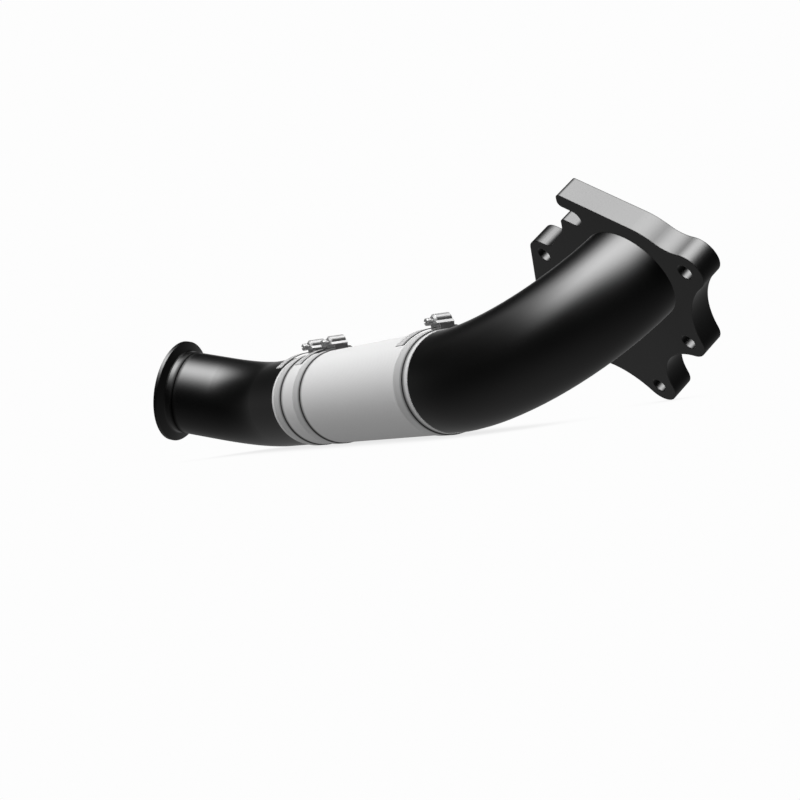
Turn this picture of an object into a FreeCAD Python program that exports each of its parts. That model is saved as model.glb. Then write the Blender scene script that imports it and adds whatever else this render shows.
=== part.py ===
"""Turbo downpipe: a mandrel-bent exhaust tube with a thick five-stud turbo flange at one end, a
V-band flange at the other, and a thin embossed heat sleeve held by three worm-drive clamps.

Design frame: X runs along the straight, sleeved length of tube towards the turbo end, Z is up.
The part lies as it comes to rest: on its clamp bands and on the lowest ear of the turbo flange.
"""
import FreeCAD, Part
import math
import os
import Sketcher

V = FreeCAD.Vector
X_AXIS = V(1, 0, 0)
Z_AXIS = V(0, 0, 1)
TURN = 2 * math.pi
CUT_MARGIN = 1.0
ROLL_STEPS = 20

# Driving dimensions in millimetres and degrees. U and V are the turbo flange's own axes:
# U along its straight upper edge, V across it, both from the centre of the gas port.
SIZES = {
    "tubeRadius": 38.1,
    "tubeWall": 1.65,
    "bendRadius": 114.3,
    "sleeveSpan": 236.6,
    "bareRun": 52.0,
    "inletAngle": 84.0,
    "inletClockAngle": 32.2,
    "outletAngle": 41.0,
    "outletClockAngle": 25.8,
    "outletRun": 35.8,
    "mitreStock": 8.0,
    "plateThickness": 18.5,
    "plateAzimuthAngle": 85.5,
    "plateElevationAngle": 34.4,
    "plateClockAngle": -40.0,
    "studHoleRadius": 6.0,
    "bossRadius": 50.6,
    "bossU": 6.5,
    "leftHoleU": -82.9,
    "leftHoleV": -27.4,
    "leftEarRadius": 13.0,
    "upperHoleU": 49.3,
    "upperHoleV": 31.9,
    "upperEarRadius": 15.1,
    "lowerHoleU": 44.6,
    "lowerHoleV": -45.8,
    "lowerEarRadius": 13.8,
    "footHoleU": 10.4,
    "footHoleV": -120.8,
    "footEarRadius": 14.9,
    "cornerU": -63.0,
    "cornerV": -94.7,
    "cornerRadius": 38.0,
    "shoulderWaist": 30.0,
    "sideWaist": 64.0,
    "lowerWaist": 40.0,
    "footWaist": 56.0,
    "slotU": -44.6,
    "slotDrop": 17.9,
    "slotHalfWidth": 6.7,
    "armReachU": -57.9,
    "armCorner": 4.0,
    "stepRadius": 20.0,
    "stepDrop": 14.2,
    "earHollowRadius": 10.3,
    "earHollowU": 2.7,
    "earHollowGap": 0.15,
    "hubLength": 8.1,
    "rimDepth": 8.55,
    "flangeLength": 14.8,
    "rimSlopeAngle": 20.0,
    "rimEdge": 0.5,
    "hubFillet": 0.8,
    "jointChamfer": 0.45,
    "registerStep": 4.05,
    "registerDepth": 1.5,
    "sleeveGap": 0.05,
    "sleeveSheet": 0.45,
    "seamWidth": 2.0,
    "seamAngle": 318.0,
    "bandGap": 0.12,
    "bandSheet": 0.6,
    "bandWidth": 12.7,
    "firstInset": 13.0,
    "secondInset": 49.3,
    "thirdInset": 11.9,
    "layerRise": 1.6,
    "wormRadius": 4.6,
    "wormGap": 0.05,
    "groovePitch": 3.2,
    "tailLift": 6.35,
    "tailStart": 4.5,
    "tailAngle": 37.6,
    "bandEnd": 11.0,
    "riseAt": 13.3,
    "riseRadius": 4.0,
    "grooveWide": 1.5,
    "grooveLong": 8.4,
    "grooveDepth": 0.2,
    "saddleSheet": 0.6,
    "saddleClearance": 0.15,
    "shellSheet": 0.5,
    "shellLeft": 2.2,
    "shellRight": 12.6,
    "domeChamfer": 1.6,
    "blindChamfer": 0.5,
    "boxInset": 0.3,
    "boxRight": 12.3,
    "stripClearance": 0.3,
    "cheekHeight": 3.7,
    "headRadius": 2.9,
    "headFrom": 4.0,
    "headTo": 7.7,
    "headBevel": 0.4,
    "neckRadius": 1.75,
    "neckClearance": 0.15,
    "driverSlot": 0.9,
    "driverDepth": 1.4,
}


class Size:
    """A number together with the sheet expression that gives it."""

    def __init__(self, value, text):
        self.value = value
        self.text = text

    def combine(self, other, sign, result):
        text = other.text if isinstance(other, Size) else repr(other)
        return Size(result, "(%s %s %s)" % (self.text, sign, text))

    def __add__(self, other):
        return self.combine(other, "+", self.value + number(other))

    def __sub__(self, other):
        return self.combine(other, "-", self.value - number(other))

    def __mul__(self, other):
        return self.combine(other, "*", self.value * number(other))

    def __truediv__(self, other):
        return self.combine(other, "/", self.value / number(other))

    def __neg__(self):
        return Size(-self.value, "(0 - %s)" % self.text)


def number(value):
    return value.value if isinstance(value, Size) else value


def make_sheet(doc):
    sheet = doc.addObject("Spreadsheet::Sheet", "Sizes")
    for row, (name, value) in enumerate(SIZES.items(), start=1):
        sheet.set("A%d" % row, name)
        sheet.set("B%d" % row, str(value))
        sheet.setAlias("B%d" % row, name)
    doc.recompute()
    return sheet


def size(name):
    return Size(float(SHEET.get(name)), "Sizes." + name)


def bind(item, prop, value):
    item.setExpression(prop, value.text)


def new_body(doc, label):
    body = doc.addObject("PartDesign::Body", label)
    body.Label = label
    return body


def new_sketch(body, name, role, offset=None):
    """A sketch on one of the body's own origin planes, moved along that plane's normal."""
    sketch = body.newObject("Sketcher::SketchObject", name)
    plane = next(f for f in body.Origin.OriginFeatures if f.Role == role)
    sketch.AttachmentSupport = (plane, [""])
    sketch.MapMode = "FlatFace"
    if offset is not None:
        sketch.AttachmentOffset = FreeCAD.Placement(V(0, 0, offset.value), FreeCAD.Rotation())
        bind(sketch, "AttachmentOffset.Base.z", offset)
    return sketch


def constrain(sketch, value, *arguments):
    """Add a driven dimension whose value follows the sheet."""
    index = sketch.addConstraint(Sketcher.Constraint(*arguments, value.value))
    sketch.setExpression("Constraints[%d]" % index, value.text)


def pin_point(sketch, geometry, vertex, u, v):
    constrain(sketch, u, "DistanceX", -1, 1, geometry, vertex)
    constrain(sketch, v, "DistanceY", -1, 1, geometry, vertex)


def add_circle(sketch, u, v, radius):
    """A circle fixed by its centre and radius. Centres at zero sit on the sketch's origin."""
    circle = Part.Circle(V(number(u), number(v), 0), Z_AXIS, radius.value)
    geometry = sketch.addGeometry(circle, False)
    if isinstance(u, Size):
        pin_point(sketch, geometry, 3, u, v)
    else:
        sketch.addConstraint(Sketcher.Constraint("Coincident", geometry, 3, -1, 1))
    constrain(sketch, radius, "Radius", geometry)
    return geometry


def add_axis(sketch, point, direction):
    """A construction line that a revolution turns about."""
    line = Part.LineSegment(point, point + direction)
    geometry = sketch.addGeometry(line, True)
    sketch.addConstraint(Sketcher.Constraint("Block", geometry))
    return geometry


def add_polygon(sketch, points):
    """A closed outline of straight edges whose corners follow the sheet."""
    count = len(points)
    corners = [V(number(u), number(v), 0) for u, v in points]
    for k in range(count):
        sketch.addGeometry(Part.LineSegment(corners[k], corners[(k + 1) % count]), False)
    for k in range(count):
        sketch.addConstraint(Sketcher.Constraint("Coincident", k, 2, (k + 1) % count, 1))
    for k, (u, v) in enumerate(points):
        pin_point(sketch, k, 1, as_size(u), as_size(v))


def as_size(value):
    return value if isinstance(value, Size) else Size(value, repr(value))


def pad(body, sketch, length, backwards=False, middle=False):
    feature = body.newObject("PartDesign::Pad", sketch.Name + "Pad")
    feature.Profile = sketch
    bind(feature, "Length", length)
    feature.Reversed = backwards
    feature.Midplane = middle
    return feature


def pocket(body, sketch, length, backwards=False, middle=False):
    feature = body.newObject("PartDesign::Pocket", sketch.Name + "Pocket")
    feature.Profile = sketch
    bind(feature, "Length", length)
    feature.Reversed = backwards
    feature.Midplane = middle
    return feature


def revolve(body, sketch, angle=None):
    """Revolve a sketch about its own construction line."""
    feature = body.newObject("PartDesign::Revolution", sketch.Name + "Turn")
    feature.Profile = sketch
    feature.ReferenceAxis = (sketch, ["Axis0"])
    feature.Angle = 360
    if angle is not None:
        bind(feature, "Angle", angle)
    return feature


class Round:
    """A round stretch of an outline: turn is +1 where the outline runs anticlockwise."""

    def __init__(self, u, v, radius, turn=1):
        self.u, self.v, self.radius, self.turn = u, v, radius, turn
        self.centre = V(number(u), number(v), 0)
        self.reach = turn * number(radius)


def left_of(direction):
    return V(-direction.y, direction.x, 0)


def tangent_points(a, b):
    """Where the straight edge that joins two round stretches leaves one and meets the next."""
    gap = b.centre - a.centre
    lean = math.asin((b.reach - a.reach) / gap.Length)
    heading = math.atan2(gap.y, gap.x) - lean
    normal = left_of(V(math.cos(heading), math.sin(heading), 0))
    return a.centre - normal * a.reach, b.centre - normal * b.reach


def blend_centre(a, b, radius):
    """Centre of the hollow arc that touches two ears from outside, right of the way from a to b."""
    gap = b.centre - a.centre
    reach_a = number(a.radius) + radius
    reach_b = number(b.radius) + radius
    along = (gap.Length ** 2 + reach_a ** 2 - reach_b ** 2) / (2 * gap.Length)
    across = math.sqrt(reach_a ** 2 - along ** 2)
    way = gap / gap.Length
    return a.centre + way * along - left_of(way) * across


def arc_between(centre, radius, start, end):
    """The anticlockwise arc from start to end."""
    first = math.atan2(start.y - centre.y, start.x - centre.x)
    last = math.atan2(end.y - centre.y, end.x - centre.x)
    if last <= first:
        last += TURN
    return Part.ArcOfCircle(Part.Circle(centre, Z_AXIS, radius), first, last)


def add_outline(sketch, rounds, blends):
    """A closed outline of round stretches, joined by straight edges or by hollow arcs.

    blends[k] is the radius of the hollow arc from stretch k to the next, or None for an edge.
    """
    count = len(rounds)
    joins = []
    for k in range(count):
        a, b = rounds[k], rounds[(k + 1) % count]
        if blends[k] is None:
            joins.append((None, *tangent_points(a, b)))
        else:
            radius = number(blends[k])
            centre = blend_centre(a, b, radius)
            leave = a.centre + (centre - a.centre) * (number(a.radius) / (centre - a.centre).Length)
            meet = b.centre + (centre - b.centre) * (number(b.radius) / (centre - b.centre).Length)
            joins.append((centre, leave, meet))
    ends = []
    for k, item in enumerate(rounds):
        entry, leave = joins[k - 1][2], joins[k][1]
        forward = item.turn > 0
        first, last = (entry, leave) if forward else (leave, entry)
        arc = arc_between(item.centre, number(item.radius), first, last)
        geometry = sketch.addGeometry(arc, False)
        ends.append((geometry, 1 if forward else 2, 2 if forward else 1))
        centre, start, end = joins[k]
        if centre is None:
            joint = sketch.addGeometry(Part.LineSegment(start, end), False)
            ends.append((joint, 1, 2))
        else:
            joint = sketch.addGeometry(arc_between(centre, number(blends[k]), end, start), False)
            ends.append((joint, 2, 1))
    for k, (geometry, entry, leave) in enumerate(ends):
        following = ends[(k + 1) % len(ends)]
        sketch.addConstraint(Sketcher.Constraint("Tangent", geometry, leave, following[0], following[1]))
    for k, item in enumerate(rounds):
        geometry = ends[2 * k][0]
        constrain(sketch, item.radius, "Radius", geometry)
        pin_point(sketch, geometry, 3, as_size(item.u), as_size(item.v))
        if blends[k] is not None:
            constrain(sketch, blends[k], "Radius", ends[2 * k + 1][0])


def end_face(feature, point):
    """Name of the flat face of a feature whose middle is nearest to a point."""
    flat = [(k, f) for k, f in enumerate(feature.Shape.Faces, start=1)
            if isinstance(f.Surface, Part.Plane)]
    nearest = min(flat, key=lambda item: (item[1].CenterOfMass - point).Length)
    return "Face%d" % nearest[0]


def bend_direction(clock, side):
    """Unit vector, across the straight tube, towards which a bend turns."""
    angle = math.radians(clock.value)
    return V(0, side * math.cos(angle), math.sin(angle))


def turned(heading, towards, angle):
    """The tube's heading after a bend."""
    a = math.radians(angle)
    return heading * math.cos(a) + towards * math.sin(a)


def bend_end(start, heading, towards, radius, angle):
    a = math.radians(angle)
    return start + heading * (radius * math.sin(a)) + towards * (radius * (1 - math.cos(a)))


def make_tube(doc):
    """The bent tube: a straight run, a bend at each end, and a short straight to the V-band."""
    radius, wall, bend = size("tubeRadius"), size("tubeWall"), size("bendRadius")
    straight = size("sleeveSpan") + size("bareRun")
    body = new_body(doc, "tube_stock")

    run = new_sketch(body, "RunSection", "YZ_Plane")
    add_circle(run, 0, 0, radius)
    add_circle(run, 0, 0, radius - wall)
    pad(body, run, straight, backwards=True)

    ends = [("Inlet", None, X_AXIS, INLET_TOWARDS, size("inletAngle")),
            ("Outlet", -straight, -X_AXIS, OUTLET_TOWARDS, size("outletAngle"))]
    for name, offset, heading, towards, angle in ends:
        section = new_sketch(body, name + "Section", "YZ_Plane", offset)
        across = heading.cross(towards)
        pivot = towards * bend.value
        add_circle(section, 0, 0, radius)
        add_circle(section, 0, 0, radius - wall)
        add_axis(section, V(pivot.y, pivot.z, 0), V(across.y, across.z, 0) * radius.value)
        turn = revolve(body, section, angle)
        doc.recompute()
        start = V(0 if offset is None else offset.value, 0, 0)
        finish = bend_end(start, heading, towards, bend.value, angle.value)
        run_on = size("mitreStock") if offset is None else size("outletRun")
        stub = body.newObject("PartDesign::Pad", name + "Run")
        stub.Profile = (turn, [end_face(turn, finish)])
        bind(stub, "Length", run_on)
        doc.recompute()

    block = doc.addObject("Part::Box", "MitreBlock")
    reach = radius * 4
    for side in ("Length", "Width"):
        bind(block, side, reach)
    depth = size("mitreStock") * 4
    bind(block, "Height", depth)
    corner = V(-reach.value / 2, -reach.value / 2, -depth.value)
    block.Placement = plate_placement().multiply(FreeCAD.Placement(corner, FreeCAD.Rotation()))
    tube = doc.addObject("Part::Cut", "bent_pipe")
    tube.Base = body
    tube.Tool = block
    return tube


def plate_rotation():
    """Turns flange U, V and the direction back along the tube into the design frame."""
    azimuth = math.radians(size("plateAzimuthAngle").value)
    elevation = math.radians(size("plateElevationAngle").value)
    level = V(math.sin(azimuth), -math.cos(azimuth), 0)
    facing = V(math.cos(azimuth), math.sin(azimuth), 0) * math.cos(elevation) + Z_AXIS * math.sin(elevation)
    rise = level.cross(facing)
    upright = FreeCAD.Rotation(level, rise, -facing, "ZXY")
    return upright.multiply(FreeCAD.Rotation(Z_AXIS, size("plateClockAngle").value))


def plate_placement():
    bend = size("bendRadius").value
    port = bend_end(V(0, 0, 0), X_AXIS, INLET_TOWARDS, bend, size("inletAngle").value)
    return FreeCAD.Placement(port, plate_rotation())


def make_turbo_flange(doc):
    """The thick flange that bolts to the turbine housing, with four stud holes and an open slot."""
    body = new_body(doc, "turbo_flange")
    half, corner, arm = size("slotHalfWidth"), size("armCorner"), size("armReachU")
    slot_u, slot_v = size("slotU"), size("bossRadius") - size("slotDrop")
    left_u, left_v = size("leftHoleU"), size("leftHoleV")
    step, hollow = size("stepRadius"), size("earHollowRadius")
    hollow_v = left_v + size("leftEarRadius") + size("earHollowGap") + hollow
    rounds = [
        Round(size("bossU"), 0.0, size("bossRadius")),
        Round(arm + corner, size("bossRadius") - corner, corner),
        Round(arm + corner, slot_v + half + corner, corner),
        Round(slot_u, slot_v, half, -1),
        Round(arm + corner, slot_v - half - corner, corner),
        Round(arm - step, slot_v - size("stepDrop"), step, -1),
        Round(left_u + size("earHollowU"), hollow_v, hollow, -1),
        Round(left_u, left_v, size("leftEarRadius")),
        Round(size("cornerU"), size("cornerV"), size("cornerRadius")),
        Round(size("footHoleU"), size("footHoleV"), size("footEarRadius")),
        Round(size("lowerHoleU"), size("lowerHoleV"), size("lowerEarRadius")),
        Round(size("upperHoleU"), size("upperHoleV"), size("upperEarRadius")),
    ]
    blends = [None] * 8
    blends += [size("footWaist"), size("lowerWaist"), size("sideWaist"), size("shoulderWaist")]
    outline = new_sketch(body, "FlangeOutline", "XY_Plane")
    add_outline(outline, rounds, blends)
    pad(body, outline, size("plateThickness"), backwards=True)

    holes = new_sketch(body, "FlangeHoles", "XY_Plane")
    add_circle(holes, 0, 0, size("tubeRadius") - size("tubeWall"))
    for name in ("left", "upper", "lower", "foot"):
        add_circle(holes, size(name + "HoleU"), size(name + "HoleV"), size("studHoleRadius"))
    pocket(body, holes, size("plateThickness"))
    return body


def outlet_placement():
    """Places the V-band flange on the end of the tube, with its own Z along the outflow."""
    bend = size("bendRadius").value
    start = V(-(size("sleeveSpan") + size("bareRun")).value, 0, 0)
    angle = size("outletAngle").value
    heading = turned(-X_AXIS, OUTLET_TOWARDS, angle)
    end = bend_end(start, -X_AXIS, OUTLET_TOWARDS, bend, angle)
    end += heading * size("outletRun").value
    return FreeCAD.Placement(end, FreeCAD.Rotation(Z_AXIS, heading))


def make_outlet_flange(doc):
    """The V-band flange: a hub flush with the tube, a sloped back, a rim and a register."""
    body = new_body(doc, "outlet_flange")
    hub = size("tubeRadius")
    bore = hub - size("tubeWall")
    rim, edge, chamfer = hub + size("rimDepth"), size("rimEdge"), size("jointChamfer")
    register = bore + size("registerStep")
    length, fillet = size("flangeLength"), size("hubFillet")
    slope = math.tan(math.radians(size("rimSlopeAngle").value))
    back = size("hubLength")
    crest = back + (rim - edge - hub) * slope
    profile = new_sketch(body, "FlangeProfile", "XZ_Plane")
    points = [
        (bore, 0.0),
        (hub - chamfer, 0.0),
        (hub, chamfer),
        (hub, back - fillet),
        (hub + fillet, back + fillet * slope),
        (rim - edge, crest),
        (rim, crest + edge),
        (rim, length - edge),
        (rim - edge, length),
        (register, length),
        (register, length - size("registerDepth")),
        (bore, length - size("registerDepth")),
    ]
    add_polygon(profile, points)
    turn = body.newObject("PartDesign::Revolution", "FlangeTurn")
    turn.Profile = profile
    turn.ReferenceAxis = (profile, ["V_Axis"])
    turn.Angle = 360
    return body


def make_heat_sleeve(doc):
    """The thin sheet rolled round the straight run, with a butt seam low on its far side."""
    body = new_body(doc, "heat_sleeve")
    inner = size("tubeRadius") + size("sleeveGap")
    outer = inner + size("sleeveSheet")
    sheet = new_sketch(body, "SleeveSection", "YZ_Plane")
    add_circle(sheet, 0, 0, outer)
    add_circle(sheet, 0, 0, inner)
    pad(body, sheet, size("sleeveSpan"), backwards=True)
    seam = new_sketch(body, "SleeveSeam", "YZ_Plane")
    angle = math.radians(size("seamAngle").value)
    out = V(math.cos(angle), math.sin(angle), 0)
    side = left_of(out) * (size("seamWidth").value / 2)
    near = out * (inner.value - CUT_MARGIN)
    far = out * (outer.value + CUT_MARGIN)
    corners = [near - side, far - side, far + side, near + side]
    for k in range(4):
        geometry = sheet_line(seam, corners[k], corners[(k + 1) % 4])
        seam.addConstraint(Sketcher.Constraint("Block", geometry))
    pocket(body, seam, size("sleeveSpan"))
    return body


def sheet_line(sketch, start, end):
    return sketch.addGeometry(Part.LineSegment(start, end), False)


def band_radius():
    """Radius of the middle of the band's sheet where it hugs the sleeve."""
    sleeve = size("tubeRadius") + size("sleeveGap") + size("sleeveSheet")
    return sleeve + size("bandGap") + size("bandSheet") / 2


def free_height():
    """Height of the middle of the free layer, which passes between the saddle and the worm."""
    return band_radius() + size("layerRise")


def worm_height():
    """Height of the screw's own axis: its worm rides on the free layer."""
    return free_height() + size("bandSheet") / 2 + size("wormGap") + size("wormRadius")


def box_top():
    """Top of the saddle's cheeks, where the housing sits."""
    return saddle_floor() + size("cheekHeight")


def band_side(offset):
    """One side of the band's strip: its corners and the arcs between them."""
    ring = band_radius().value + offset
    top = free_height().value
    rise = Round(-size("riseAt").value, top - size("riseRadius").value, size("riseRadius").value + offset, -1)
    tail_radius = (band_radius() + size("tailLift")).value
    tail_centre = V(size("tailStart").value, top - tail_radius, 0)
    end = math.radians(90 - size("tailAngle").value)
    leave, meet = tangent_points(Round(0.0, 0.0, ring, -1), rise)
    tail_end = tail_centre + V(math.cos(end), math.sin(end), 0) * (tail_radius + offset)
    return [
        (V(-size("bandEnd").value, ring, 0), None),
        (V(0, ring, 0), (V(0, 0, 0), ring)),
        (leave, None),
        (meet, (rise.centre, rise.radius)),
        (V(rise.centre.x, top + offset, 0), None),
        (V(tail_centre.x, top + offset, 0), (tail_centre, tail_radius + offset)),
        (tail_end, None),
    ]


def make_band(doc, label):
    """A grooved strip that wraps the sleeve, passes through the housing and ends in a tail."""
    body = new_body(doc, label + "_strip")
    strip = new_sketch(body, "Strip", "YZ_Plane")
    half = size("bandSheet").value / 2
    inside, outside = band_side(-half), band_side(half)
    for side in (inside, outside):
        for (point, arc), (following, unused) in zip(side, side[1:]):
            if arc is None:
                sheet_line(strip, point, following)
            else:
                strip.addGeometry(arc_between(arc[0], arc[1], following, point), False)
    sheet_line(strip, inside[0][0], outside[0][0])
    sheet_line(strip, inside[-1][0], outside[-1][0])
    for geometry in range(strip.GeometryCount):
        strip.addConstraint(Sketcher.Constraint("Block", geometry))
    pad(body, strip, size("bandWidth"), middle=True)

    grooves = doc.addObject("Part::MultiFuse", label + "_grooves")
    grooves.Shapes = [groove_cutter(doc, label, k, place) for k, place in enumerate(groove_places())]
    band = doc.addObject("Part::Cut", label)
    band.Base = body
    band.Tool = grooves
    return band


def groove_places():
    """Grooves under the worm and along the tail, one pitch apart, on the middle of the strip."""
    pitch = size("groovePitch").value
    top = free_height().value
    under_worm = int((size("boxRight").value - size("boxInset").value) / pitch)
    radius = (band_radius() + size("tailLift")).value
    start = size("tailStart").value
    last = start + radius * math.radians(size("tailAngle").value) - pitch
    places = []
    along = (0.5 - under_worm) * pitch
    while along < last:
        angle = max(0.0, along - start) / radius
        y = min(along, start) + radius * math.sin(angle)
        z = top - radius * (1 - math.cos(angle))
        rotation = FreeCAD.Rotation(X_AXIS, -math.degrees(angle))
        places.append(FreeCAD.Placement(V(0, y, z), rotation))
        along += pitch
    return places


def groove_cutter(doc, label, index, place):
    long, wide, high = size("grooveLong"), size("grooveWide"), size("bandSheet")
    box = doc.addObject("Part::Box", "%s_groove%d" % (label, index))
    bind(box, "Length", long)
    bind(box, "Width", wide)
    bind(box, "Height", high)
    bottom = high.value / 2 - size("grooveDepth").value
    corner = V(-long.value / 2, -wide.value / 2, bottom)
    box.Placement = place.multiply(FreeCAD.Placement(corner, FreeCAD.Rotation()))
    return box


def saddle_floor():
    """Underside of the saddle's floor, just above the fixed layer of the band."""
    return band_radius() + size("bandSheet") / 2 + size("bandGap")


def half_inside():
    return size("bandWidth") / 2 + size("saddleClearance")


def make_saddle(doc, label):
    """The folded plate between the band's two layers: a floor, two cheeks and a wall at one end."""
    body = new_body(doc, label)
    sheet, floor, inside = size("saddleSheet"), saddle_floor(), half_inside()
    outside = inside + sheet
    foot = floor - size("bandSheet")
    top = box_top()
    section = new_sketch(body, "SaddleSection", "XZ_Plane", size("boxInset"))
    points = [
        (-outside, foot), (-inside, foot), (-inside, floor), (inside, floor),
        (inside, foot), (outside, foot), (outside, top), (inside, top),
        (inside, floor + sheet), (-inside, floor + sheet), (-inside, top), (-outside, top),
    ]
    add_polygon(section, points)
    pad(body, section, size("boxRight") - size("boxInset"))
    wall = new_sketch(body, "EndWall", "XZ_Plane", size("boxInset"))
    sill = free_height() + size("bandSheet") / 2 + size("stripClearance")
    add_polygon(wall, [(-inside, sill), (inside, sill), (inside, top), (-inside, top)])
    pad(body, wall, sheet)
    return body


def dome_radius():
    """Outer radius of the worm cover."""
    return size("wormRadius") + size("neckClearance") + size("shellSheet")


def make_housing(doc, label):
    """The worm cover: a dome with chamfered ends on two sloping shoulders, closed at both ends."""
    body = new_body(doc, label)
    sheet, axis, top = size("shellSheet"), worm_height(), box_top()
    outer, cut, blind = dome_radius(), size("domeChamfer"), size("blindChamfer")
    inner, mitre = outer - sheet, sheet * (math.sqrt(2) - 1)
    hole = size("neckRadius") + size("neckClearance")
    left, right = size("shellLeft"), -size("shellRight")
    dome = new_sketch(body, "DomeProfile", "YZ_Plane")
    add_polygon(dome, [
        (left, axis + hole), (left, axis + outer - cut), (left - cut, axis + outer),
        (right + blind, axis + outer), (right, axis + outer - blind), (right, axis),
        (right + sheet, axis), (right + sheet, axis + outer - blind - mitre),
        (right + blind + mitre, axis + inner), (left - cut - mitre, axis + inner),
        (left - sheet, axis + outer - cut - mitre), (left - sheet, axis + hole),
    ])
    add_axis(dome, V(0, axis.value, 0), V(outer.value, 0, 0))
    turn = revolve(body, dome)
    turn.Midplane = True
    turn.Angle = 180

    foot = half_inside() + size("saddleSheet")
    for side, name in ((1, "NearShoulder"), (-1, "FarShoulder")):
        shoulder = new_sketch(body, name, "XZ_Plane", -left)
        add_polygon(shoulder, [
            (inner * side, axis), (outer * side, axis), (foot * side, top + sheet),
            (foot * side, top), ((foot - sheet) * side, top), ((foot - sheet) * side, top + sheet / 2),
        ])
        pad(body, shoulder, left - right)
    for name, offset in (("NeckEnd", -left), ("BlindEnd", -right - sheet)):
        end = new_sketch(body, name, "XZ_Plane", offset)
        add_polygon(end, [(-foot, top), (foot, top), (foot, top + sheet), (outer, axis),
                          (-outer, axis), (-foot, top + sheet)])
        pad(body, end, sheet)
    neck = new_sketch(body, "NeckHole", "XZ_Plane", -left)
    add_circle(neck, Size(0.0, "0"), axis, hole)
    pocket(body, neck, sheet * 2, backwards=True)
    return body


def make_screw(doc, label):
    """The worm screw: a slotted head, a neck, and a worm drawn as the cylinder over its thread."""
    body = new_body(doc, label)
    axis, worm = worm_height(), size("wormRadius")
    head, neck, bevel = size("headRadius"), size("neckRadius"), size("headBevel")
    start = -(size("boxInset") + size("saddleSheet") + size("neckClearance"))
    end = -(size("shellRight") - size("blindChamfer") - size("shellSheet") * 2)
    points = [
        (end, axis), (end, axis + worm), (start, axis + worm),
        (start, axis + neck), (size("headFrom"), axis + neck),
        (size("headFrom"), axis + head), (size("headTo") - bevel, axis + head),
        (size("headTo"), axis + head - bevel), (size("headTo"), axis),
    ]
    profile = new_sketch(body, "ScrewProfile", "YZ_Plane")
    add_polygon(profile, points)
    add_axis(profile, V(0, axis.value, 0), V(head.value, 0, 0))
    revolve(body, profile)

    slot = new_sketch(body, "DriverSlot", "YZ_Plane")
    deep, half = size("driverDepth"), size("driverSlot") / 2
    far = size("headTo") + head
    points = [(size("headTo") - deep, axis - half), (far, axis - half),
              (far, axis + half), (size("headTo") - deep, axis + half)]
    add_polygon(slot, points)
    pocket(body, slot, head * 3, middle=True)
    return body


def rest_roll():
    """Turn about the straight run that brings the foot ear down to the level of the bands."""
    floor = -(band_radius() + size("bandSheet") / 2).value
    place = plate_placement()
    ear = place.multVec(V(size("footHoleU").value, size("footHoleV").value, 0))
    normal = place.Rotation.multVec(Z_AXIS)
    roll = 0.0
    for step in range(ROLL_STEPS):
        turn = FreeCAD.Rotation(X_AXIS, math.degrees(roll))
        centre, axis = turn.multVec(ear), turn.multVec(normal)
        low = centre.z - size("footEarRadius").value * math.sqrt(1 - axis.z ** 2)
        roll -= (low - floor) / centre.y
    return math.degrees(roll)


def place_parts(parts, clamps):
    """Set every sub-part in the design frame, lying at rest, with the origin under its middle."""
    roll = FreeCAD.Placement(V(0, 0, 0), FreeCAD.Rotation(X_AXIS, rest_roll()))
    for part in parts:
        if part.Label == "turbo_flange":
            part.Placement = roll.multiply(plate_placement())
        elif part.Label == "outlet_flange":
            part.Placement = roll.multiply(outlet_placement())
        else:
            part.Placement = roll
    for part, along in clamps:
        part.Placement = FreeCAD.Placement(V(-along, 0, 0), FreeCAD.Rotation(Z_AXIS, 180))
    everything = Part.makeCompound([p.Shape for p in parts] + [p.Shape for p, along in clamps])
    box = everything.optimalBoundingBox(False, False)
    floor = -(band_radius() + size("bandSheet") / 2).value
    shift = FreeCAD.Placement(V(-box.Center.x, -box.Center.y, -floor), FreeCAD.Rotation())
    for part in parts + [p for p, along in clamps]:
        part.Placement = shift.multiply(part.Placement)
    print("rest roll %.3f, shift %s, lowest %.4f" % (rest_roll(), shift.Base, box.ZMin - floor))


def check_document(doc, nodes):
    faults = [o.Name for o in doc.Objects if "Invalid" in o.State or "Error" in o.State]
    if faults:
        raise RuntimeError("failed objects: %s" % faults)
    for node in nodes:
        shape = node.Shape
        if shape.isNull() or not shape.isValid() or shape.Volume <= 0:
            raise RuntimeError("bad shape: %s" % node.Label)


DOC = FreeCAD.newDocument("Downpipe")
SHEET = make_sheet(DOC)
INLET_TOWARDS = bend_direction(size("inletClockAngle"), 1)
OUTLET_TOWARDS = bend_direction(size("outletClockAngle"), -1)


def main():
    parts = [make_tube(DOC), make_turbo_flange(DOC), make_outlet_flange(DOC), make_heat_sleeve(DOC)]
    span = size("sleeveSpan")
    clamps = []
    places = [("first", size("firstInset")), ("second", span - size("secondInset")),
              ("third", span - size("thirdInset"))]
    for name, place in places:
        along = place.value
        makers = [("band", make_band), ("saddle", make_saddle),
                  ("housing", make_housing), ("screw", make_screw)]
        for piece, make in makers:
            clamps.append((make(DOC, "%s_clamp_%s" % (name, piece)), along))
    DOC.recompute()
    place_parts(parts, clamps)
    DOC.recompute()
    nodes = parts + [part for part, along in clamps]
    check_document(DOC, nodes)
    os.makedirs("parts", exist_ok=True)
    for node in nodes:
        node.Shape.exportStep("parts/%s.step" % node.Label)
        print("%-22s solids %d volume %.1f" % (node.Label, len(node.Shape.Solids), node.Shape.Volume))


main()
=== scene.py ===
import math

import bpy
from mathutils import Matrix, Vector


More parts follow.
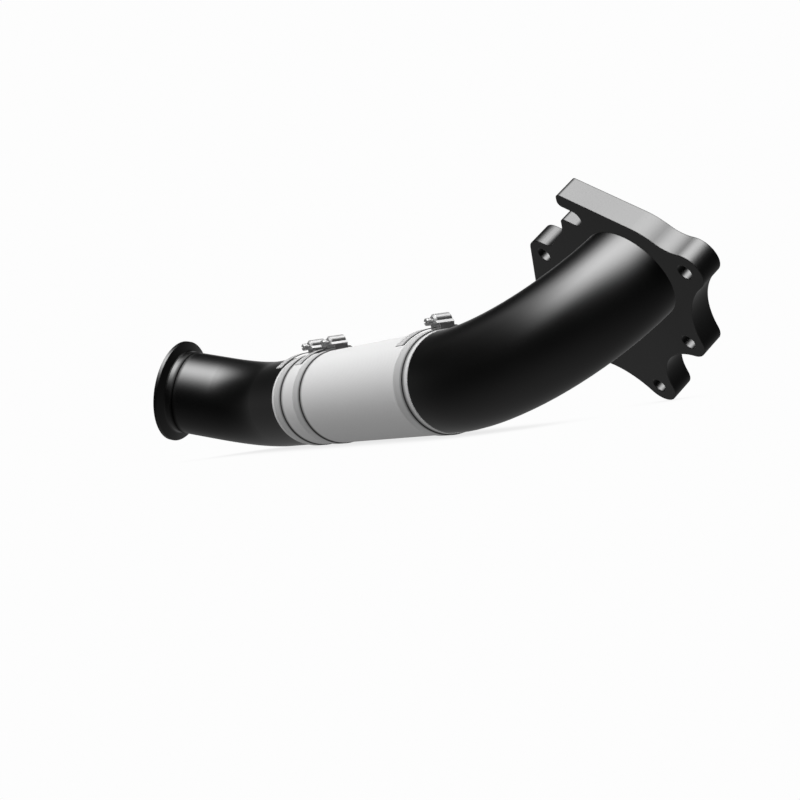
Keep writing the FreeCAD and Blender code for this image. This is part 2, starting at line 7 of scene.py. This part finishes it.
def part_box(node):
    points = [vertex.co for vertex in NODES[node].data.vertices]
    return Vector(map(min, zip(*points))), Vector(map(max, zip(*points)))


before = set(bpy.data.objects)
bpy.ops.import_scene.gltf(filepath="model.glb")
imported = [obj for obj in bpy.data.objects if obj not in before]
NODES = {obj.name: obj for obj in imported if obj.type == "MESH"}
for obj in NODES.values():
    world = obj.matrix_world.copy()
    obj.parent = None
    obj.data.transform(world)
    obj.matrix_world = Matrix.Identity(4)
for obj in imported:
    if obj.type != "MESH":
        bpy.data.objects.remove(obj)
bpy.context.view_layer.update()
CLAMPS = ("first", "second", "third")

# The camera stands low, beside the turbo end, and looks back along the pipe.
CAMERA_PLACE = Vector((1.11840, -0.63480, 0.05204))
CAMERA_RIGHT = Vector((0.47934, 0.86423, -0.15277))
CAMERA_UP = Vector((0.05843, 0.14226, 0.98810))
CAMERA_LENS = 71.56
CAMERA_FAR = 100.0
SENSOR = 36.0

# The floor and the backdrop have one pale tone, and the floor is a little darker close to the part.
BACKDROP = 0.982
FLOOR_SIZE = 30.0
FLOOR_BELOW = 0.0002
SHADOW_REACH = 0.03
SHADOW_DARK = 0.80
SHADOW_FAINT = 0.98
SHADOW_BEND = 0.6

# One big softbox, painted on the world, hangs overhead and leans towards the camera.
BOX_MIDDLE = Vector((0.299, -0.164, 0.940))
BOX_ACROSS = Vector((0.561, 0.827, -0.035))
BOX_HALF_ACROSS = 0.46
BOX_HALF_ALONG = 0.41
BOX_SOFT_ACROSS = 0.22
BOX_SOFT_ALONG = 0.35
BOX_STRENGTH = 8.5
BOX_ON_MATT = 0.61

# The rest of the studio is dark, but for a low fill from the front that only matt surfaces show.
ROOM_STRENGTH = 0.01
FILL_WAY = Vector((-0.28, -0.89, 0.36))
FILL_STRENGTH = 0.36
GROUND_ON_MATT = 0.25
GROUND_ON_GLOSS = 0.155

# The backdrop behind the part shows a little in gloss, low down and fading out above the horizon.
BACKDROP_WAY = Vector((-0.871, 0.480, 0.105))
BACKDROP_ON_GLOSS = 0.25
BACKDROP_SPREAD = 4.0
BACKDROP_CORE = 0.6
CORE_OUTER = 0.960
CORE_INNER = 0.995
BACKDROP_LOW = 0.05
BACKDROP_TOP = 0.45

# A noise stays mostly between these two values.
NOISE_LOW = 0.3
NOISE_HIGH = 0.7

# Black coating: its tone, a cloudy wear in its sheen, and a fine grain.
BLACK_DARK = 0.0012
BLACK_LIGHT = 0.0022
WEAR_SCALE = 14.0
SHEEN_CHANGE = 0.02
GRAIN_SCALE = 1400.0
GRAIN_HEIGHT = 0.00003
GRAIN_STRENGTH = 0.12

# Edges look slightly rounded in the shading, which this many samples work out.
EDGE_SAMPLES = 6

# The weld between the tube and the V-band flange lies this far along the outlet's way.
OUTLET_WAY = Vector((-0.75471, -0.59122, 0.28439))
WELD_AT = 0.27168
WELD_HALF = 0.0006
WELD_ROUGH = 0.6

# Foil: the width of a dimple, its tones, which are painted shade darker in the dimples' hollows, its
# heights, and the soft creases of the sheet.
DIMPLE = 0.0022
FOIL_DARK = 0.64
FOIL_LIGHT = 0.74
FOIL_ROUGH = 0.6
DIMPLE_HEIGHT = 0.00008
DIMPLE_STRENGTH = 0.5
CREASE_SCALE = 45.0
CREASE_HEIGHT = 0.0004
CREASE_STRENGTH = 0.10

# Painted shadow: the dark line at the turbo side of each clamp band, on the band's edge and the foil just
# beyond it: its half width, and what is left of the tone.
SHADOW_LINE_HALF = 0.0013
SHADOW_LINE_IN_FOIL = 0.12
SHADOW_LINE_IN_BAND = 0.2

# Steel: drawing lines change its tone and sheen and are felt as a fine relief; faces turned towards X get
# painted shade.
STEEL_STREAK = 0.88
STEEL_SHEEN_CHANGE = 0.08
STEEL_LINE_HEIGHT = 0.00003
STEEL_LINE_STRENGTH = 0.3
DRAWN_AROUND = (4000, 60, 60)
DRAWN_ALONG = (3000, 200, 3000)
SIDE_SHADE_SPREAD = 0.15


def link(tree, source, target):
    tree.links.new(source, target)


def add(tree, kind, **values):
    node = tree.nodes.new(kind)
    for name, value in values.items():
        setattr(node, name, value)
    return node


def ramp(tree, source, stops):
    """A colour ramp of grey stops: (position, value)."""
    node = add(tree, "ShaderNodeValToRGB")
    elements = node.color_ramp.elements
    for element, (position, value) in zip((elements[0], elements[1]), (stops[0], stops[-1])):
        element.position = position
        element.color = (value, value, value, 1)
    for position, value in stops[1:-1]:
        elements.new(position).color = (value, value, value, 1)
    link(tree, source, node.inputs["Fac"])
    return node.outputs["Color"]


def noise(tree, vector, scale, detail, roughness=0.5):
    node = add(tree, "ShaderNodeTexNoise")
    node.inputs["Scale"].default_value = scale
    node.inputs["Detail"].default_value = detail
    node.inputs["Roughness"].default_value = roughness
    link(tree, vector, node.inputs["Vector"])
    return node.outputs["Fac"]


def math_node(tree, operation, *terms):
    node = add(tree, "ShaderNodeMath", operation=operation)
    for socket, term in zip(node.inputs, terms):
        if isinstance(term, (int, float)):
            socket.default_value = term
        else:
            link(tree, term, socket)
    return node.outputs["Value"]


def dot(tree, vector, direction):
    node = add(tree, "ShaderNodeVectorMath", operation="DOT_PRODUCT")
    link(tree, vector, node.inputs[0])
    node.inputs[1].default_value = direction
    return node.outputs["Value"]


def split(tree, vector):
    node = add(tree, "ShaderNodeSeparateXYZ")
    link(tree, vector, node.inputs["Vector"])
    return node.outputs


def pick(tree, switch, off, on):
    """One of two numbers or outputs: off where the switch is 0, on where it is 1."""
    node = add(tree, "ShaderNodeMix", data_type="FLOAT")
    link(tree, switch, node.inputs[0])
    for socket, term in zip((node.inputs[2], node.inputs[3]), (off, on)):
        if isinstance(term, (int, float)):
            socket.default_value = term
        else:
            link(tree, term, socket)
    return node.outputs[0]


def smooth(tree, value, start, end, before, after):
    """Before up to the start, after from the end on, and a smooth change between."""
    node = add(tree, "ShaderNodeMapRange", interpolation_type="SMOOTHSTEP")
    node.inputs["From Min"].default_value = start
    node.inputs["From Max"].default_value = end
    node.inputs["To Min"].default_value = before
    node.inputs["To Max"].default_value = after
    link(tree, value, node.inputs["Value"])
    return node.outputs["Result"]


def line_at(tree, along, place, half, core):
    """1 on a thin line across the way at a place, fading to 0 from the core to the half width."""
    off = math_node(tree, "ABSOLUTE", math_node(tree, "SUBTRACT", along, place))
    return ramp(tree, off, [(0.0, 1.0), (half * core, 1.0), (half, 0.0), (1.0, 0.0)])


def darkened(tree, colour, where, value):
    """The colour, multiplied by a grey value where the mask is 1."""
    shade = add(tree, "ShaderNodeMix", data_type="RGBA", blend_type="MULTIPLY")
    link(tree, where, shade.inputs[0])
    link(tree, colour, shade.inputs[6])
    shade.inputs[7].default_value = (value, value, value, 1)
    return shade.outputs[2]


def bump(tree, height, distance, strength, normal=None):
    node = add(tree, "ShaderNodeBump")
    node.inputs["Distance"].default_value = distance
    node.inputs["Strength"].default_value = strength
    link(tree, height, node.inputs["Height"])
    if normal is not None:
        link(tree, normal, node.inputs["Normal"])
    return node.outputs["Normal"]


def rounded_edges(tree, radius):
    node = add(tree, "ShaderNodeBevel", samples=EDGE_SAMPLES)
    node.inputs["Radius"].default_value = radius
    return node.outputs["Normal"]


def new_material(name):
    material = bpy.data.materials.new(name)
    material.use_nodes = True
    tree = material.node_tree
    shader = tree.nodes["Principled BSDF"]
    place = add(tree, "ShaderNodeTexCoord").outputs["Object"]
    return material, tree, shader, place


def black_coating(name, rough, edge):
    """Satin black coating: a fine grain, slight wear in its sheen, soft edges and a dark weld line."""
    material, tree, shader, place = new_material(name)
    cloud = noise(tree, place, WEAR_SCALE, detail=4.0)
    grain = noise(tree, place, GRAIN_SCALE, detail=2.0)
    tone = ramp(tree, cloud, [(NOISE_LOW, BLACK_DARK), (NOISE_HIGH, BLACK_LIGHT)])
    sheen = ramp(tree, cloud, [(NOISE_LOW, rough - SHEEN_CHANGE), (NOISE_HIGH, rough + SHEEN_CHANGE)])
    weld = line_at(tree, dot(tree, place, OUTLET_WAY), WELD_AT, WELD_HALF, core=0.5)
    relief = bump(tree, grain, GRAIN_HEIGHT, GRAIN_STRENGTH, rounded_edges(tree, edge))
    link(tree, tone, shader.inputs["Base Color"])
    link(tree, pick(tree, weld, sheen, WELD_ROUGH), shader.inputs["Roughness"])
    link(tree, relief, shader.inputs["Normal"])
    link(tree, weld, shader.inputs["Metallic"])
    shader.inputs["Specular IOR Level"].default_value = 1.0
    return material


def painted_shadow_lines(tree, along):
    """1 in the thin painted shadow line along the edge of each clamp band that faces the turbo end."""
    total = None
    for clamp in CLAMPS:
        turbo_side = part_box(clamp + "_clamp_band")[1].x
        line = line_at(tree, along, turbo_side, SHADOW_LINE_HALF, core=0.6)
        total = line if total is None else math_node(tree, "MAXIMUM", total, line)
    return total


def embossed_foil():
    """Pale aluminium foil with a fine weave of small dimples pressed into it."""
    material, tree, shader, place = new_material("embossed_foil")
    parts = split(tree, place)
    low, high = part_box("heat_sleeve")
    radius = (high.z - low.z) / 2
    centre = (low + high) / 2
    across = math_node(tree, "SUBTRACT", parts["Y"], centre.y)
    upward = math_node(tree, "SUBTRACT", parts["Z"], centre.z)
    angle = math_node(tree, "ARCTAN2", upward, across)
    waves_per_metre = 2 * math.pi / DIMPLE
    waves_around = round(waves_per_metre * radius)
    along_wave = math_node(tree, "SINE", math_node(tree, "MULTIPLY", parts["X"], waves_per_metre))
    around_wave = math_node(tree, "SINE", math_node(tree, "MULTIPLY", angle, waves_around))
    dimples = math_node(tree, "MULTIPLY", along_wave, around_wave)
    # Painted shade: the foil's tone follows the dimples, darker in their hollows and lighter on their
    # crowns.
    shade = math_node(tree, "MULTIPLY_ADD", dimples, 0.5, 0.5)
    foil = ramp(tree, shade, [(0.0, FOIL_DARK), (1.0, FOIL_LIGHT)])
    # Painted shadow: the foil is darkened in a thin line beside the turbo side of each band.
    foil = darkened(tree, foil, painted_shadow_lines(tree, parts["X"]), SHADOW_LINE_IN_FOIL)
    crease = bump(tree, noise(tree, place, CREASE_SCALE, detail=2.0), CREASE_HEIGHT, CREASE_STRENGTH)
    link(tree, foil, shader.inputs["Base Color"])
    link(tree, bump(tree, dimples, DIMPLE_HEIGHT, DIMPLE_STRENGTH, crease), shader.inputs["Normal"])
    shader.inputs["Metallic"].default_value = 0.0
    shader.inputs["Roughness"].default_value = FOIL_ROUGH
    return material


def stainless(name, tone, rough, metal, drawn, edge, side_shade=None, is_band=False):
    """Satin stainless steel with fine drawing lines.

    Painted shade on the sides is given as a pair: how far a face turns towards X before it is darkened,
    and what is left of its tone there. A band also has a painted shadow line at its turbo side.
    """
    material, tree, shader, place = new_material(name)
    stretch = add(tree, "ShaderNodeMapping")
    stretch.inputs["Scale"].default_value = drawn
    link(tree, place, stretch.inputs["Vector"])
    lines = noise(tree, stretch.outputs["Vector"], 1.0, detail=3.0, roughness=0.6)
    colour = ramp(tree, lines, [(NOISE_LOW, tone * STEEL_STREAK), (NOISE_HIGH, tone)])
    rounded = rounded_edges(tree, edge)
    if side_shade is not None:
        start, left = side_shade
        # Painted shade: faces turned towards X, the sides of bands and clamp bodies, are darkened.
        facing = math_node(tree, "ABSOLUTE", split(tree, rounded)["X"])
        painted_side_shade = ramp(tree, facing, [(start, 0.0), (start + SIDE_SHADE_SPREAD, 1.0)])
        colour = darkened(tree, colour, painted_side_shade, left)
    if is_band:
        # Painted shadow: the band is darkened in a thin line along its turbo side.
        colour = darkened(tree, colour, painted_shadow_lines(tree, split(tree, place)["X"]), SHADOW_LINE_IN_BAND)
    sheen = ramp(tree, lines, [(NOISE_LOW, rough), (NOISE_HIGH, rough + STEEL_SHEEN_CHANGE)])
    link(tree, colour, shader.inputs["Base Color"])
    link(tree, sheen, shader.inputs["Roughness"])
    link(tree, bump(tree, lines, STEEL_LINE_HEIGHT, STEEL_LINE_STRENGTH, rounded), shader.inputs["Normal"])
    shader.inputs["Metallic"].default_value = metal
    return material


def dress(node, material):
    """Gives a node its one material. No piece shows in the gloss of another, as in the photograph."""
    mesh = NODES[node].data
    mesh.materials.clear()
    mesh.materials.append(material)
    NODES[node].visible_glossy = False


def make_camera():
    data = bpy.data.cameras.new("camera")
    data.sensor_width = SENSOR
    data.lens = CAMERA_LENS
    data.clip_end = CAMERA_FAR
    camera = bpy.data.objects.new("camera", data)
    backwards = CAMERA_RIGHT.cross(CAMERA_UP)
    turn = Matrix((CAMERA_RIGHT, CAMERA_UP, backwards)).transposed()
    camera.matrix_world = Matrix.Translation(CAMERA_PLACE) @ turn.to_4x4()
    bpy.context.scene.collection.objects.link(camera)
    bpy.context.scene.camera = camera


def is_ray(tree, kind):
    return add(tree, "ShaderNodeLightPath").outputs["Is %s Ray" % kind]


def softbox(tree, way, gloss):
    """The softbox, somewhat weaker on matt surfaces than in gloss."""
    along_way = BOX_MIDDLE.cross(BOX_ACROSS)
    across = math_node(tree, "ABSOLUTE", dot(tree, way, BOX_ACROSS))
    along = math_node(tree, "ABSOLUTE", dot(tree, way, along_way))
    across_end = BOX_HALF_ACROSS + BOX_SOFT_ACROSS
    along_end = BOX_HALF_ALONG + BOX_SOFT_ALONG
    inside_across = smooth(tree, across, BOX_HALF_ACROSS - BOX_SOFT_ACROSS, across_end, 1.0, 0.0)
    inside_along = smooth(tree, along, BOX_HALF_ALONG - BOX_SOFT_ALONG, along_end, 1.0, 0.0)
    box = math_node(tree, "MULTIPLY", inside_across, inside_along)
    above = math_node(tree, "GREATER_THAN", dot(tree, way, BOX_MIDDLE), 0.0)
    power = pick(tree, gloss, BOX_STRENGTH * BOX_ON_MATT, BOX_STRENGTH)
    return math_node(tree, "MULTIPLY", math_node(tree, "MULTIPLY", box, above), power)


def backdrop_in_gloss(tree, way):
    """A wide glow round the direction of the backdrop, fading out above the horizon."""
    near = math_node(tree, "MULTIPLY_ADD", dot(tree, way, BACKDROP_WAY), 0.5, 0.5)
    spread = math_node(tree, "POWER", near, BACKDROP_SPREAD)
    wide = math_node(tree, "MULTIPLY", spread, BACKDROP_ON_GLOSS)
    core = smooth(tree, near, CORE_OUTER, CORE_INNER, 0.0, BACKDROP_CORE)
    height = dot(tree, way, Vector((0, 0, 1)))
    fade = smooth(tree, height, BACKDROP_LOW, BACKDROP_TOP, 1.0, 0.0)
    return math_node(tree, "MULTIPLY", math_node(tree, "ADD", wide, core), fade)


def ground(tree, way, gloss):
    """The pale ground: even light on matt surfaces, and a pool below that fades in gloss."""
    down = math_node(tree, "MAXIMUM", dot(tree, way, Vector((0, 0, -1))), 0.0)
    below = math_node(tree, "GREATER_THAN", down, 0.0)
    flat = math_node(tree, "MULTIPLY", below, GROUND_ON_MATT)
    pool = math_node(tree, "MULTIPLY", math_node(tree, "MULTIPLY", down, down), GROUND_ON_GLOSS)
    pool = math_node(tree, "ADD", pool, backdrop_in_gloss(tree, way))
    return pick(tree, gloss, flat, pool)


def make_world():
    """The studio: the camera sees the pale backdrop, and the part sees a dark room and a softbox."""
    world = bpy.data.worlds.new("studio")
    bpy.context.scene.world = world
    world.use_nodes = True
    tree = world.node_tree
    tree.nodes.clear()
    output = add(tree, "ShaderNodeOutputWorld")
    way = add(tree, "ShaderNodeTexCoord").outputs["Generated"]
    gloss = is_ray(tree, "Glossy")
    facing = math_node(tree, "MAXIMUM", dot(tree, way, FILL_WAY), 0.0)
    fill = math_node(tree, "MULTIPLY", facing, pick(tree, gloss, FILL_STRENGTH, 0.0))
    total = math_node(tree, "ADD", fill, ROOM_STRENGTH)
    total = math_node(tree, "ADD", total, ground(tree, way, gloss))
    total = math_node(tree, "ADD", total, softbox(tree, way, gloss))
    light = add(tree, "ShaderNodeBackground")
    light.inputs["Color"].default_value = (1, 1, 1, 1)
    link(tree, total, light.inputs["Strength"])
    seen = add(tree, "ShaderNodeBackground")
    seen.inputs["Color"].default_value = (BACKDROP, BACKDROP, BACKDROP, 1)
    mix = add(tree, "ShaderNodeMixShader")
    link(tree, is_ray(tree, "Camera"), mix.inputs["Fac"])
    link(tree, light.outputs["Background"], mix.inputs[1])
    link(tree, seen.outputs["Background"], mix.inputs[2])
    link(tree, mix.outputs["Shader"], output.inputs["Surface"])


def make_floor():
    """A pale floor that runs into the backdrop, with a faint shadow where the part comes near."""
    bpy.ops.mesh.primitive_plane_add(size=FLOOR_SIZE, location=(0, 0, -FLOOR_BELOW))
    floor = bpy.context.object
    floor.name = "floor"
    material = bpy.data.materials.new("floor")
    material.use_nodes = True
    tree = material.node_tree
    tree.nodes.clear()
    output = add(tree, "ShaderNodeOutputMaterial")
    near = add(tree, "ShaderNodeAmbientOcclusion")
    near.inputs["Distance"].default_value = SHADOW_REACH
    tones = [(0.0, BACKDROP * SHADOW_DARK), (SHADOW_BEND, BACKDROP * SHADOW_FAINT), (1.0, BACKDROP)]
    glow = add(tree, "ShaderNodeEmission")
    link(tree, ramp(tree, near.outputs["AO"], tones), glow.inputs["Color"])
    link(tree, glow.outputs["Emission"], output.inputs["Surface"])
    floor.data.materials.append(material)
    floor.visible_glossy = False
    floor.visible_diffuse = False


def dress_all():
    dress("bent_pipe", black_coating("pipe_coating", rough=0.30, edge=0.0006))
    dress("turbo_flange", black_coating("flange_coating", rough=0.36, edge=0.0010))
    dress("outlet_flange", black_coating("rim_coating", rough=0.30, edge=0.0004))
    dress("heat_sleeve", embossed_foil())
    band = stainless("band_steel", tone=0.86, rough=0.42, metal=0.45, drawn=DRAWN_AROUND,
                     edge=0.0003, side_shade=(0.45, 0.10), is_band=True)
    body = stainless("clamp_steel", tone=0.56, rough=0.38, metal=0.60, drawn=DRAWN_ALONG,
                     edge=0.0002, side_shade=(0.8, 0.25))
    screw = stainless("screw_steel", tone=0.62, rough=0.34, metal=0.75, drawn=DRAWN_ALONG, edge=0.0002)
    for clamp in CLAMPS:
        dress(clamp + "_clamp_band", band)
        dress(clamp + "_clamp_saddle", body)
        dress(clamp + "_clamp_housing", body)
        dress(clamp + "_clamp_screw", screw)
        # A band's free end throws no shadow on the band below it.
        NODES[clamp + "_clamp_band"].visible_diffuse = False
        NODES[clamp + "_clamp_band"].visible_shadow = False


bpy.context.scene.view_settings.view_transform = "Standard"
make_camera()
make_world()
make_floor()
dress_all()
